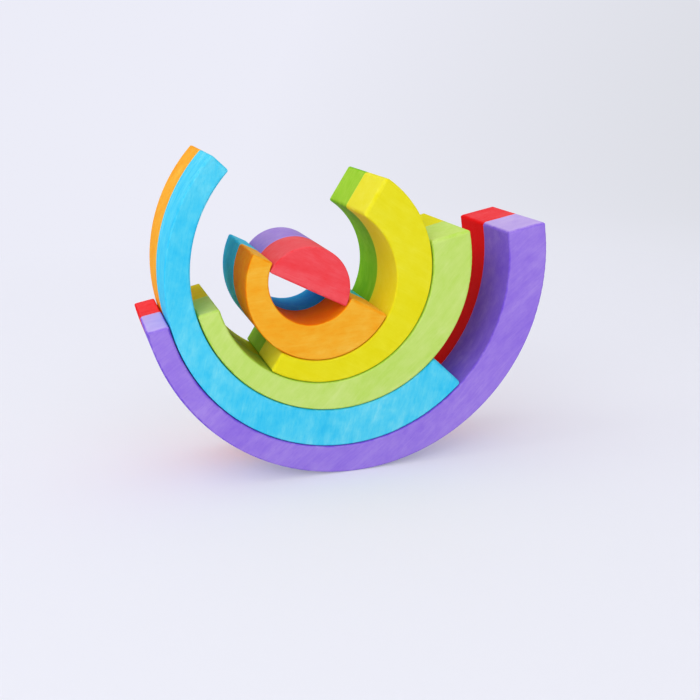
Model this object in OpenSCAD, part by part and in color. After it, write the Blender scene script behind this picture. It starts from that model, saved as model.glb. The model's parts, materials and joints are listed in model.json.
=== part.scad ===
// Rainbow stacker: five wooden arches and a half-disc core, nested in each other like cradles.
// Every arch is glued from a front and a back board, and its hollow is cut off centre,
// so one leg is thick and the other thin. Each arch lies turned in the hollow of the next larger one.

/* [Arches] */
// Radius of the half-disc core
core_r = 18; // [14:1:30]
// How much larger each arch is than the one that nests in it
arch_step = 14; // [11:0.5:20]
// How far each hollow is cut off centre, towards the thin leg
hollow_shift = 4.5; // [0:0.5:5.5]
// Thickness of one board, half the depth of the toy
board = 25; // [15:1:40]

/* [Fit] */
// Radial room between an arch and the hollow it lies in
nest_gap = 0.5; // [0.4:0.05:1]
// Room left under an arch where it rests in its hollow, and at the tips of the core
seat_gap = 0.25; // [0.15:0.05:0.4]

/* [Edges] */
// Rounding of the long curved edges
rim_round = 0.8; // [0.4:0.1:1.5]
// Rounding of the edges round the end of each thick leg
thick_round = 1.8; // [0.6:0.1:2.4]
// Rounding of the edges round the end of each thin leg
thin_round = 1.2; // [0.6:0.1:2]
// Rounding of the edges round the flat side of the core
core_round = 1.2; // [0.6:0.1:2.4]

/* [Pose] */
// Lean of the outer arch's legs, thick leg up
outer_tilt = 11.5; // [2:0.1:20]
// Lean of the second arch's legs
second_tilt = -43.8; // [-60:0.1:60]
// Lean of the third arch's legs
third_tilt = 13.8; // [-60:0.1:60]
// Lean of the fourth arch's legs
fourth_tilt = 57.4; // [-60:0.1:60]
// Lean of the fifth arch's legs, which the core shares
fifth_tilt = -27.3; // [-60:0.1:60]

/* [Hidden] */
$fn = 144;

// The arches from the outside in: an arch's number is the place of its lean in this list
tilts = [outer_tilt, second_tilt, third_tilt, fourth_tilt, fifth_tilt];
innermost = len(tilts) - 1;

// How far cutters run past the wood
margin = 2;

// How far below the middle of its hollow an arch comes to rest
sink = nest_gap - seat_gap;

// Direction of an arch's thick leg, and the direction out of its hollow, in the X-Z plane
function leg_way(i) = [cos(tilts[i]), sin(tilts[i])];
function mouth_way(i) = [-sin(tilts[i]), cos(tilts[i])];

function outer_radius(i) = core_r + (len(tilts) - i) * arch_step;
function hollow_radius(i) = outer_radius(i + 1) + nest_gap;

// How far a tip's rounding arc crosses the curved face it runs into, so the two meet on a clean edge
tip_bite = 0.02;

// Where the rounding arc of a tip is centred along the leg, on an outer and on a hollow face
function outer_tip(r, rounding) = sqrt(pow(r - rounding + tip_bite, 2) - pow(rounding, 2));
function hollow_tip(r, rounding) = sqrt(pow(r + rounding - tip_bite, 2) - pow(rounding, 2));

// The outer arch stands on the floor, with the middle of its width over the origin
thin_tip = outer_tip(outer_radius(0), thin_round);
left_reach = thin_tip * cos(outer_tilt) - thin_round * sin(outer_tilt) + thin_round;
outer_centre = [(left_reach - outer_radius(0)) / 2, outer_radius(0)];

// Middle of each arch's outer face: each arch rests at the bottom of the hollow round it
function centre(i) = i == 0 ? outer_centre : hollow_centre(i - 1) - [0, sink];
function hollow_centre(i) = centre(i) - hollow_shift * leg_way(i);

// The core lies flat side down and sinks until its two tips meet the hollow's wall
core_tip_room = hollow_radius(innermost) - seat_gap - core_round;
core_drop = core_round + sqrt(pow(core_tip_room, 2) - pow(outer_tip(core_r, core_round), 2));
core_centre = hollow_centre(innermost) - core_drop * mouth_way(innermost);

// Where the removed corner lies when an edge is rounded: between two ways out of the arc's centre
module corner_outside_arc(middle, rounding, way_a, way_b) {
    reach = 3 * rounding;
    difference() {
        polygon([
            middle,
            middle + reach * way_a,
            middle + reach * (way_a + way_b),
            middle + reach * way_b,
        ]);
        translate(middle) circle(rounding);
    }
}

// Full disc, one board thick, with its outer face edge rounded
module disc(r) {
    rotate_extrude() {
        square([r - rim_round, board]);
        square([r, board - rim_round]);
        translate([r - rim_round, board - rim_round]) circle(rim_round);
    }
}

// What is bored out of a board, flared at its face so that the hollow's edge is rounded
module hollow_cut(r) {
    rotate_extrude()
        difference() {
            translate([0, -margin]) square([r + rim_round, board + 2 * margin]);
            translate([r, -2 * margin]) square([2 * rim_round, board - rim_round + 2 * margin]);
            translate([r + rim_round, board - rim_round]) circle(rim_round);
        }
}

// Keeps the half of a disc below the X axis
module half_cut(r) {
    translate([-r - margin, 0, -margin]) cube([2 * (r + margin), r + margin, board + 2 * margin]);
}

// Rounds one end along the board's face: side 1 is the end towards +X, side -1 the other
module face_edge_cut(r, side, rounding) {
    length = r + margin;
    translate([min(side, 0) * length, 0, 0])
        rotate([90, 0, 90])
            linear_extrude(length)
                corner_outside_arc([-rounding, board - rounding], rounding, [1, 0], [0, 1]);
}

// Rounds the tip of one end, where the cut meets the outer face
module outer_tip_cut(r, side, rounding) {
    middle = [side * outer_tip(r, rounding), -rounding];
    translate([0, 0, -margin])
        linear_extrude(board + 2 * margin)
            corner_outside_arc(middle, rounding, [0, 1], middle / norm(middle));
}

// Rounds the tip of one end, where the cut meets the hollow
module hollow_tip_cut(r, side, rounding) {
    middle = [side * hollow_tip(r, rounding), -rounding];
    translate([0, 0, -margin])
        linear_extrude(board + 2 * margin)
            corner_outside_arc(middle, rounding, [0, 1], -middle / norm(middle));
}

// Half disc with all its face edges rounded, glued side at the bottom
module half_disc_board(r, left_round, right_round) {
    difference() {
        disc(r);
        half_cut(r);
        face_edge_cut(r, -1, left_round);
        face_edge_cut(r, 1, right_round);
        outer_tip_cut(r, -1, left_round);
        outer_tip_cut(r, 1, right_round);
    }
}

// Half ring with an off-centre hollow, glued side at the bottom, thick leg towards +X
module arch_board(i) {
    difference() {
        half_disc_board(outer_radius(i), thin_round, thick_round);
        translate([-hollow_shift, 0, 0]) {
            hollow_cut(hollow_radius(i));
            hollow_tip_cut(hollow_radius(i), -1, thin_round);
            hollow_tip_cut(hollow_radius(i), 1, thick_round);
        }
    }
}

// Stands a board up at its place in the nest, leaning by its tilt
module stand(middle, tilt) {
    translate([middle[0], 0, middle[1]])
        rotate([90, 0, 0])
            rotate([0, 0, tilt])
                children();
}

module front_arch_board(i) {
    stand(centre(i), tilts[i]) arch_board(i);
}

module back_arch_board(i) {
    stand(centre(i), tilts[i]) mirror([0, 0, 1]) arch_board(i);
}

module front_core_board() {
    stand(core_centre, fifth_tilt + 180) half_disc_board(core_r, core_round, core_round);
}

module back_core_board() {
    stand(core_centre, fifth_tilt + 180) mirror([0, 0, 1]) half_disc_board(core_r, core_round, core_round);
}

module outer_arch_violet_board() {
    color("mediumpurple") front_arch_board(0);
}

module outer_arch_red_board() {
    color("crimson") back_arch_board(0);
}

module second_arch_blue_board() {
    color("deepskyblue") front_arch_board(1);
}

module second_arch_orange_board() {
    color("orange") back_arch_board(1);
}

module third_arch_green_board() {
    color("yellowgreen") front_arch_board(2);
}

module third_arch_yellow_board() {
    color("gold") back_arch_board(2);
}

module fourth_arch_yellow_board() {
    color("gold") front_arch_board(3);
}

module fourth_arch_green_board() {
    color("yellowgreen") back_arch_board(3);
}

module fifth_arch_orange_board() {
    color("orange") front_arch_board(4);
}

module fifth_arch_blue_board() {
    color("deepskyblue") back_arch_board(4);
}

module core_red_board() {
    color("crimson") front_core_board();
}

module core_violet_board() {
    color("mediumpurple") back_core_board();
}

outer_arch_violet_board();
outer_arch_red_board();
second_arch_blue_board();
second_arch_orange_board();
third_arch_green_board();
third_arch_yellow_board();
fourth_arch_yellow_board();
fourth_arch_green_board();
fifth_arch_orange_board();
fifth_arch_blue_board();
core_red_board();
core_violet_board();
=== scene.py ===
"""Looks of the rainbow stacker: boards of stained wood, a pale round sweep, soft light and the camera."""

import json
import math
from typing import NamedTuple

import bmesh
import bpy
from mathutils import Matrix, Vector

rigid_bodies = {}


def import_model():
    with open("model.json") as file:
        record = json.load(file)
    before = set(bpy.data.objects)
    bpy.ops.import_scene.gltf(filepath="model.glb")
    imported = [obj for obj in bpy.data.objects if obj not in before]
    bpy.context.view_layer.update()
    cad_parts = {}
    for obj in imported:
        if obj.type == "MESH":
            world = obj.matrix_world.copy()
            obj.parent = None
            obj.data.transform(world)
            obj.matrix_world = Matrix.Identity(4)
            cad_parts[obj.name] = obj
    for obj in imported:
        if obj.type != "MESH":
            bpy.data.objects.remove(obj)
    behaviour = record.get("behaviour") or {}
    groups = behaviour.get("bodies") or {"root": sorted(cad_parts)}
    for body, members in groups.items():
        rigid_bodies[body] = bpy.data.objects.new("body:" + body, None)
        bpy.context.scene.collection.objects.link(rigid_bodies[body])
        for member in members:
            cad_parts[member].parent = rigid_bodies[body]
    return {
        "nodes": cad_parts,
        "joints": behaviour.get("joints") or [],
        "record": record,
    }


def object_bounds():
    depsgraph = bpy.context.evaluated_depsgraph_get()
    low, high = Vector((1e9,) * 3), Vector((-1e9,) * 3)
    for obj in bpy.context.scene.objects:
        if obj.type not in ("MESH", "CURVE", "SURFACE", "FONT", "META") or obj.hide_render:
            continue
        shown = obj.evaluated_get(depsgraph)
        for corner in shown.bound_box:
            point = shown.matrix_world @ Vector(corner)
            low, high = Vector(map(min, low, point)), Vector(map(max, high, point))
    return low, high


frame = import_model()
cad_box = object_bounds()

# Share of light that one coat of each stain lets through, in linear colour, over pale bleached wood
STAINS = {
    "violet": (0.355, 0.225, 0.830),
    "red": (0.940, 0.090, 0.108),
    "blue": (0.085, 0.680, 0.955),
    "orange": (0.965, 0.465, 0.030),
    "green": (0.590, 0.820, 0.185),
    "yellow": (0.855, 0.795, 0.016),
}
PALE_WOOD = (0.95, 0.92, 0.90)


class Board(NamedTuple):
    """How one board is cut and stained; the stain on its curved faces and ends also paints shade and
    light.
    """

    grain: float  # way the grain runs across its face, in degrees up from +X
    figure: float  # how much the stain varies with the figure of the wood
    face: float  # coats of stain on its flat face
    curve: float  # coats on its outer face and in its hollow: deeper stain, with extra coats as painted shade there
    end: float  # coats on the ends of its legs, or on the flat side of the core; the violet's few are partly painted light, the fourth green's many partly painted shade


# Extra coats on curved faces are partly painted shade in the hollows and on outer faces inside the nest.
# The violet board's few end coats are partly painted light on its lit leg ends; the fourth green's many
# are partly painted shade on its shaded thin end.
BOARDS = {
    "outer_arch_violet_board": Board(grain=42, figure=0.7, face=1.0, curve=1.35, end=0.56),
    "outer_arch_red_board": Board(grain=-14, figure=0.8, face=1.2, curve=2.7, end=1.3),
    "second_arch_blue_board": Board(grain=74, figure=1.4, face=1.0, curve=1.1, end=1.0),
    "second_arch_orange_board": Board(grain=18, figure=0.8, face=1.0, curve=1.1, end=1.0),
    "third_arch_green_board": Board(grain=47, figure=0.8, face=1.0, curve=1.5, end=1.0),
    "third_arch_yellow_board": Board(grain=8, figure=0.8, face=1.0, curve=1.6, end=1.2),
    "fourth_arch_yellow_board": Board(grain=-32, figure=0.8, face=1.0, curve=1.0, end=0.8),
    "fourth_arch_green_board": Board(grain=66, figure=0.8, face=1.5, curve=2.9, end=2.0),
    "fifth_arch_orange_board": Board(grain=3, figure=1.0, face=1.0, curve=1.8, end=0.9),
    "fifth_arch_blue_board": Board(grain=-41, figure=1.2, face=1.2, curve=1.6, end=1.0),
    "core_red_board": Board(grain=-24, figure=0.7, face=1.0, curve=0.9, end=1.2),
    "core_violet_board": Board(grain=-52, figure=0.7, face=1.0, curve=0.8, end=1.0),
}


class Noise(NamedTuple):
    """One layer of noise in the wood."""

    along: float  # features per millimetre along the grain
    across: float  # features per millimetre across the grain
    detail: float  # finer octaves on top
    roughness: float = 0.5  # strength of each octave beside the one before


# The wood's figure from broad to fine, and the patches in which edges are worn
CLOUD = Noise(along=0.030, across=0.045, detail=2.0)
MOTTLE = Noise(along=0.16, across=0.24, detail=3.0, roughness=0.6)
FIBRE = Noise(along=0.06, across=1.1, detail=3.0, roughness=0.65)
PORES = Noise(along=0.35, across=3.6, detail=1.0)
WEAR = Noise(along=0.20, across=0.20, detail=3.0, roughness=0.7)
RINGS_PER_MM, RING_DETAIL = 0.22, 3.0

# How far the grain waves in millimetres, and how often
GRAIN_WAVE = 22
WAVES_PER_MM, WAVE_DETAIL = 0.014, 1.0

# From board to board the wood is cut this many millimetres further on, so that no two look the same
CUT_APART = Vector((173, 61, 97))
MM_PER_M = 1000

# Stain that each layer of the figure holds, and how far each stands out of the surface
LAYER_STAIN = {"rings": 0.25, "cloud": 0.55, "mottle": 0.60, "fibre": 0.35, "pores": 0.10}
LAYER_RELIEF = {"rings": 0.25, "fibre": 0.8, "pores": -0.5}

# Stain that rounded edges take up in dabs, and stain missing where they are rubbed and along the glue
SOAKED_STAIN, RUBBED_STAIN, GLUE_STAIN = 0.22, -0.25, -0.30

# Values between which a mask goes from none to full: noise, or the cosine to a way that a face looks
PORE_SPAN = (0.10, 0.22)
SOAKED_SPAN = (-0.02, 0.12)
RUBBED_SPAN = (-0.06, -0.16)
SQUARE_SPAN = (0.55, 0.95)

# Metres from the leg ends and from the glued side over which ends and glue line fade out
END_FADE = (0.0005, 0.0018)
GLUE_FADE = (0.00008, 0.00025)

# Matte surface: roughness over a span of the fibre noise, less where it is rubbed, and its fine relief
FIBRE_SPAN = (-0.2, 0.2)
ROUGHNESS = (0.62, 0.78)
RUBBED_ROUGHNESS = -0.12
SPECULAR = 0.06
RELIEF_STRENGTH, RELIEF_METRES = 0.35, 0.00012


def rgba(colour):
    return (*colour, 1.0)


class Shader:
    """A material's node tree, with one short call for each node."""

    def __init__(self, name):
        self.material = bpy.data.materials.new(name)
        self.material.use_nodes = True
        self.tree = self.material.node_tree
        self.tree.nodes.clear()

    def node(self, kind, inputs=None, **settings):
        made = self.tree.nodes.new("ShaderNode" + kind)
        for name, value in settings.items():
            setattr(made, name, value)
        for name, value in (inputs or {}).items():
            if isinstance(value, bpy.types.NodeSocket):
                self.tree.links.new(value, made.inputs[name])
            else:
                made.inputs[name].default_value = value
        return made

    def math(self, operation, *values):
        return self.node("Math", dict(enumerate(values)), operation=operation).outputs[0]

    def vector(self, operation, *values):
        made = self.node("VectorMath", dict(enumerate(values)), operation=operation)
        return made.outputs["Value" if operation in ("LENGTH", "DOT_PRODUCT") else "Vector"]

    def remap(self, value, low, high, to_low=0.0, to_high=1.0):
        made = self.node("MapRange", {0: value, 1: low, 2: high, 3: to_low, 4: to_high})
        return made.outputs[0]

    def add(self, start, layers):
        """A start value plus layers, which come in pairs with their weights."""
        total = start
        for layer, weight in layers:
            total = self.math("MULTIPLY_ADD", layer, weight, total)
        return total

    def blend(self, share, first, second):
        """The first colour where the share is 0, the second where it is 1."""
        colours = {0: share, 6: rgba(first), 7: rgba(second)}
        return self.node("Mix", colours, data_type="RGBA").outputs[2]

    def noise(self, place, layer):
        """Noise about 0, at a place in millimetres with X along the grain."""
        scaled = self.vector("MULTIPLY", place, (layer.along, layer.across, layer.across))
        made = self.node(
            "TexNoise",
            {"Vector": scaled, "Scale": 1.0, "Detail": layer.detail, "Roughness": layer.roughness},
        )
        return self.math("SUBTRACT", made.outputs["Fac"], 0.5)

    def half_way(self, cosine):
        """1 where a face leans half way between along and across a way, 0 where it lies either way."""
        square = self.math("MULTIPLY", cosine, cosine)
        product = self.math("MULTIPLY", square, self.math("SUBTRACT", 1.0, square))
        return self.math("MULTIPLY", product, 4.0)


def wood_places(s, place, grain, number):
    """Place in millimetres with X along the grain, in straight wood and in wood with waves."""
    turned = s.node(
        "Mapping",
        {
            "Vector": place,
            "Location": CUT_APART * (number + 1),
            "Rotation": (0, math.radians(grain), 0),
            "Scale": (MM_PER_M,) * 3,
        },
    )
    straight = turned.outputs[0]
    bend = s.node("TexNoise", {"Vector": straight, "Scale": WAVES_PER_MM, "Detail": WAVE_DETAIL})
    waved = s.vector("MULTIPLY_ADD", bend.outputs["Color"], (GRAIN_WAVE,) * 3, straight)
    return straight, waved


def growth_rings(s, waved):
    across = s.vector("LENGTH", s.vector("MULTIPLY", waved, (0, 1, 1)))
    made = s.node(
        "TexNoise",
        {"W": s.math("MULTIPLY", across, RINGS_PER_MM), "Scale": 1.0, "Detail": RING_DETAIL},
        noise_dimensions="1D",
    )
    return s.math("SUBTRACT", made.outputs["Fac"], 0.5)


def wood_layers(s, straight, waved):
    """Layers of the wood's figure, by name."""
    return {
        "rings": growth_rings(s, waved),
        "cloud": s.noise(waved, CLOUD),
        "mottle": s.noise(waved, MOTTLE),
        "fibre": s.noise(waved, FIBRE),
        "pores": s.remap(s.noise(straight, PORES), *PORE_SPAN),
    }


def weighted(layers, weights):
    return [(layers[name], weight) for name, weight in weights.items()]


class Faces(NamedTuple):
    """Masks of the kinds of face on a board: where all are 0 it is curved."""

    flat: bpy.types.NodeSocket
    end: bpy.types.NodeSocket
    edge: bpy.types.NodeSocket


def face_kinds(s, node, lean, place, normal):
    mouth = Vector((-math.sin(math.radians(lean)), 0, math.cos(math.radians(lean))))
    reach = max(v.co.dot(mouth) for v in frame["nodes"][node].data.vertices)
    below_end = s.math("SUBTRACT", reach, s.vector("DOT_PRODUCT", place, mouth))
    at_end = s.remap(below_end, *END_FADE, 1.0, 0.0)
    to_mouth = s.vector("DOT_PRODUCT", normal, mouth)
    to_face = s.node("SeparateXYZ", {0: normal}).outputs["Y"]
    end_edge = s.math("MULTIPLY", at_end, s.half_way(to_mouth))
    return Faces(
        flat=s.remap(s.math("ABSOLUTE", to_face), *SQUARE_SPAN),
        end=s.math("MULTIPLY", at_end, s.remap(to_mouth, *SQUARE_SPAN)),
        edge=s.math("MAXIMUM", end_edge, s.half_way(to_face)),
    )


def edge_wear(s, edge, straight):
    """Where rounded edges soak up more stain, and where they are rubbed thin."""
    patch = s.noise(straight, WEAR)
    soaked = s.math("MULTIPLY", edge, s.remap(patch, *SOAKED_SPAN))
    rubbed = s.math("MULTIPLY", edge, s.remap(patch, *RUBBED_SPAN))
    return soaked, rubbed


def glue_line(s, place):
    depth = s.math("ABSOLUTE", s.node("SeparateXYZ", {0: place}).outputs["Y"])
    return s.remap(depth, *GLUE_FADE, 1.0, 0.0)


def stained_wood(node, lean, number):
    """Matte stained wood: its figure, faces, ends and edges each take up the stain differently, and the
    stain on curved faces and ends also paints shade and light.
    """
    board = BOARDS[node]
    stain = STAINS[node.split("_")[-2]]
    s = Shader(node + "_stained_wood")
    coordinates = s.node("TexCoord").outputs
    place = coordinates["Object"]
    straight, waved = wood_places(s, place, board.grain, number)
    layers = wood_layers(s, straight, waved)
    faces = face_kinds(s, node, lean, place, coordinates["Normal"])
    soaked, rubbed = edge_wear(s, faces.edge, straight)

    # Extra coats on curved faces paint shade there, fewer on the violet ends paint light, and more on the
    # fourth green's ends paint shade.
    kinds = [(faces.flat, board.face - board.curve), (faces.end, board.end - board.curve)]
    figure = s.add(0.0, weighted(layers, LAYER_STAIN))
    wear = [(soaked, SOAKED_STAIN), (rubbed, RUBBED_STAIN), (glue_line(s, place), GLUE_STAIN)]
    taken = s.add(1.0, [(figure, board.figure), *wear])
    coats_with_painted_light_and_shade = s.math("MULTIPLY", s.add(board.curve, kinds), taken)
    stained = s.vector("MULTIPLY", s.vector("POWER", stain, coats_with_painted_light_and_shade), PALE_WOOD)

    relief = s.add(0.0, weighted(layers, LAYER_RELIEF))
    bump = s.node("Bump", {"Strength": RELIEF_STRENGTH, "Distance": RELIEF_METRES, "Height": relief})
    roughness = s.remap(layers["fibre"], *FIBRE_SPAN, *ROUGHNESS)
    wood = s.node(
        "BsdfPrincipled",
        {
            "Base Color": stained,
            "Roughness": s.add(roughness, [(rubbed, RUBBED_ROUGHNESS)]),
            "Specular IOR Level": SPECULAR,
            "Normal": bump.outputs[0],
        },
    )
    s.node("OutputMaterial", {"Surface": wood.outputs[0]})
    return s.material


def arch_leans():
    """How far the legs of each body lean, in degrees: a hinge turns as far each way from legs in line."""
    foot = next(m for m in frame["record"]["mounts"] if m["name"] == "thick_foot")
    leans = {"outer_arch": math.degrees(math.atan2(-foot["axis"][0], foot["axis"][2]))}
    for joint in frame["joints"]:
        if joint["type"] == "hinge":
            leans[joint["child"]] = leans[joint["parent"]] - sum(joint["range_deg"]) / 2
        else:
            # The core lies upside down in the hollow that it slides out of
            leans[joint["child"]] = leans[joint["parent"]] + 180
    return leans


def dress_boards():
    leans = arch_leans()
    bodies = frame["record"]["behaviour"]["bodies"]
    boards = [(body, node) for body, nodes in bodies.items() for node in nodes]
    for number, (body, node) in enumerate(boards):
        material = stained_wood(node, leans[body], number)
        frame["nodes"][node].material_slots[0].material = material


# A round sweep in metres, so that every side of the toy has the same backdrop
FLOOR_RADIUS = 0.75
SWEEP_BEND = 0.35
WALL_TOP = 0.45
BEND_STEPS = 16
ROUND_STEPS = 96
SEAM = 1e-5
PAPER = (0.840, 0.845, 0.905)

# The pale tone in which the paper is seen, and which way and over what span it falls off to the darker
# right one, as painted shade of the light falling off across the paper
LEFT_TONE = (0.840, 0.845, 0.937)
RIGHT_TONE = (0.650, 0.665, 0.700)
TONE_FALL = (1.0, 0.0, -0.6)
FALL_SPAN = (0.12, 1.0)

# How far the tone drowns the toy's shadow, near to the toy and far from it
NEAR, FAR = 0.02, 0.55
TONE_NEAR, TONE_FAR = 0.30, 1.0


def seen_rays(s):
    """1 for rays that show the paper, 0 for those that only carry its light."""
    ray = s.node("LightPath").outputs
    seen = s.math("MAXIMUM", ray["Is Camera Ray"], ray["Is Glossy Ray"])
    return s.math("MAXIMUM", seen, ray["Is Transmission Ray"])


def sweep_paper():
    s = Shader("sweep_paper")
    place = s.node("TexCoord").outputs["Object"]
    # Painted shade: the seen paper grows darker towards the right
    painted_shade_rightward = s.remap(s.vector("DOT_PRODUCT", place, TONE_FALL), *FALL_SPAN)
    tone = s.blend(painted_shade_rightward, LEFT_TONE, RIGHT_TONE)
    glow = s.node("Emission", {"Color": tone, "Strength": 1.0})
    paper = s.node("BsdfDiffuse", {"Color": rgba(PAPER)})
    share = s.remap(s.vector("LENGTH", place), NEAR, FAR, TONE_NEAR, TONE_FAR)
    share = s.math("MULTIPLY", share, seen_rays(s))
    mixed = s.node("MixShader", {0: share, 1: paper.outputs[0], 2: glow.outputs[0]})
    s.node("OutputMaterial", {"Surface": mixed.outputs[0]})
    return s.material


def sweep_outline():
    """The sweep's section from its middle to the top of its wall, as distances and heights."""
    outline = [(0.0, 0.0), (FLOOR_RADIUS, 0.0)]
    for step in range(1, BEND_STEPS + 1):
        turn = math.pi / 2 * step / BEND_STEPS
        outline.append((FLOOR_RADIUS + SWEEP_BEND * math.sin(turn), SWEEP_BEND * (1 - math.cos(turn))))
    outline.append((FLOOR_RADIUS + SWEEP_BEND, WALL_TOP))
    return outline


def studio_sweep():
    mesh = bpy.data.meshes.new("sweep")
    b = bmesh.new()
    points = [b.verts.new((r, 0, z)) for r, z in sweep_outline()]
    edges = [b.edges.new(pair) for pair in zip(points, points[1:])]
    turn = {"axis": (0, 0, 1), "cent": (0, 0, 0), "angle": 2 * math.pi, "steps": ROUND_STEPS}
    bmesh.ops.spin(b, geom=points + edges, **turn)
    bmesh.ops.remove_doubles(b, verts=b.verts, dist=SEAM)
    bmesh.ops.recalc_face_normals(b, faces=b.faces)
    for face in b.faces:
        face.smooth = True
    b.to_mesh(mesh)
    b.free()
    sweep = bpy.data.objects.new("studio_sweep", mesh)
    bpy.context.scene.collection.objects.link(sweep)
    mesh.materials.append(sweep_paper())


class Lamp(NamedTuple):
    """A square soft lamp, turned to the middle of the toy."""

    place: Vector
    size: float  # metres along a side
    power: float  # watts


LAMPS = {
    "key_softbox": Lamp(place=Vector((-0.85, -0.92, 0.72)), size=0.80, power=6.3),
    "top_softbox": Lamp(place=Vector((-0.65, 0.05, 0.98)), size=0.70, power=2.2),
    "front_softbox": Lamp(place=Vector((0.15, -1.00, 0.95)), size=0.80, power=1.2),
}
SKY_COLOUR = (0.98, 0.985, 1.0)
SKY_STRENGTH = 0.74


def soft_lamps():
    low, high = cad_box
    middle = (low + high) / 2
    for name, lamp in LAMPS.items():
        light = bpy.data.lights.new(name, "AREA")
        light.size = lamp.size
        light.energy = lamp.power
        holder = bpy.data.objects.new(name, light)
        holder.location = lamp.place
        holder.rotation_euler = (middle - lamp.place).to_track_quat("-Z", "Y").to_euler()
        bpy.context.scene.collection.objects.link(holder)


def even_sky():
    world = bpy.data.worlds.new("studio")
    world.use_nodes = True
    sky = world.node_tree.nodes["Background"]
    sky.inputs["Color"].default_value = rgba(SKY_COLOUR)
    sky.inputs["Strength"].default_value = SKY_STRENGTH
    bpy.context.scene.world = world


# The photograph's view: metres, degrees down from level and to the right of +Y, and millimetres of lens
CAMERA_PLACE = (-0.12007, -0.38366, 0.17078)
CAMERA_PITCH = 16.984
CAMERA_YAW = 17.969
CAMERA_LENS = 48.17
NEAREST_SEEN = 0.01


def photo_camera():
    lens = bpy.data.cameras.new("photo_camera")
    lens.lens = CAMERA_LENS
    lens.clip_start = NEAREST_SEEN
    camera = bpy.data.objects.new("photo_camera", lens)
    camera.location = CAMERA_PLACE
    camera.rotation_euler = (math.radians(90 - CAMERA_PITCH), 0, math.radians(-CAMERA_YAW))
    bpy.context.scene.collection.objects.link(camera)
    bpy.context.scene.camera = camera


dress_boards()
studio_sweep()
soft_lamps()
even_sky()
photo_camera()
bpy.context.scene.view_settings.view_transform = "Standard"
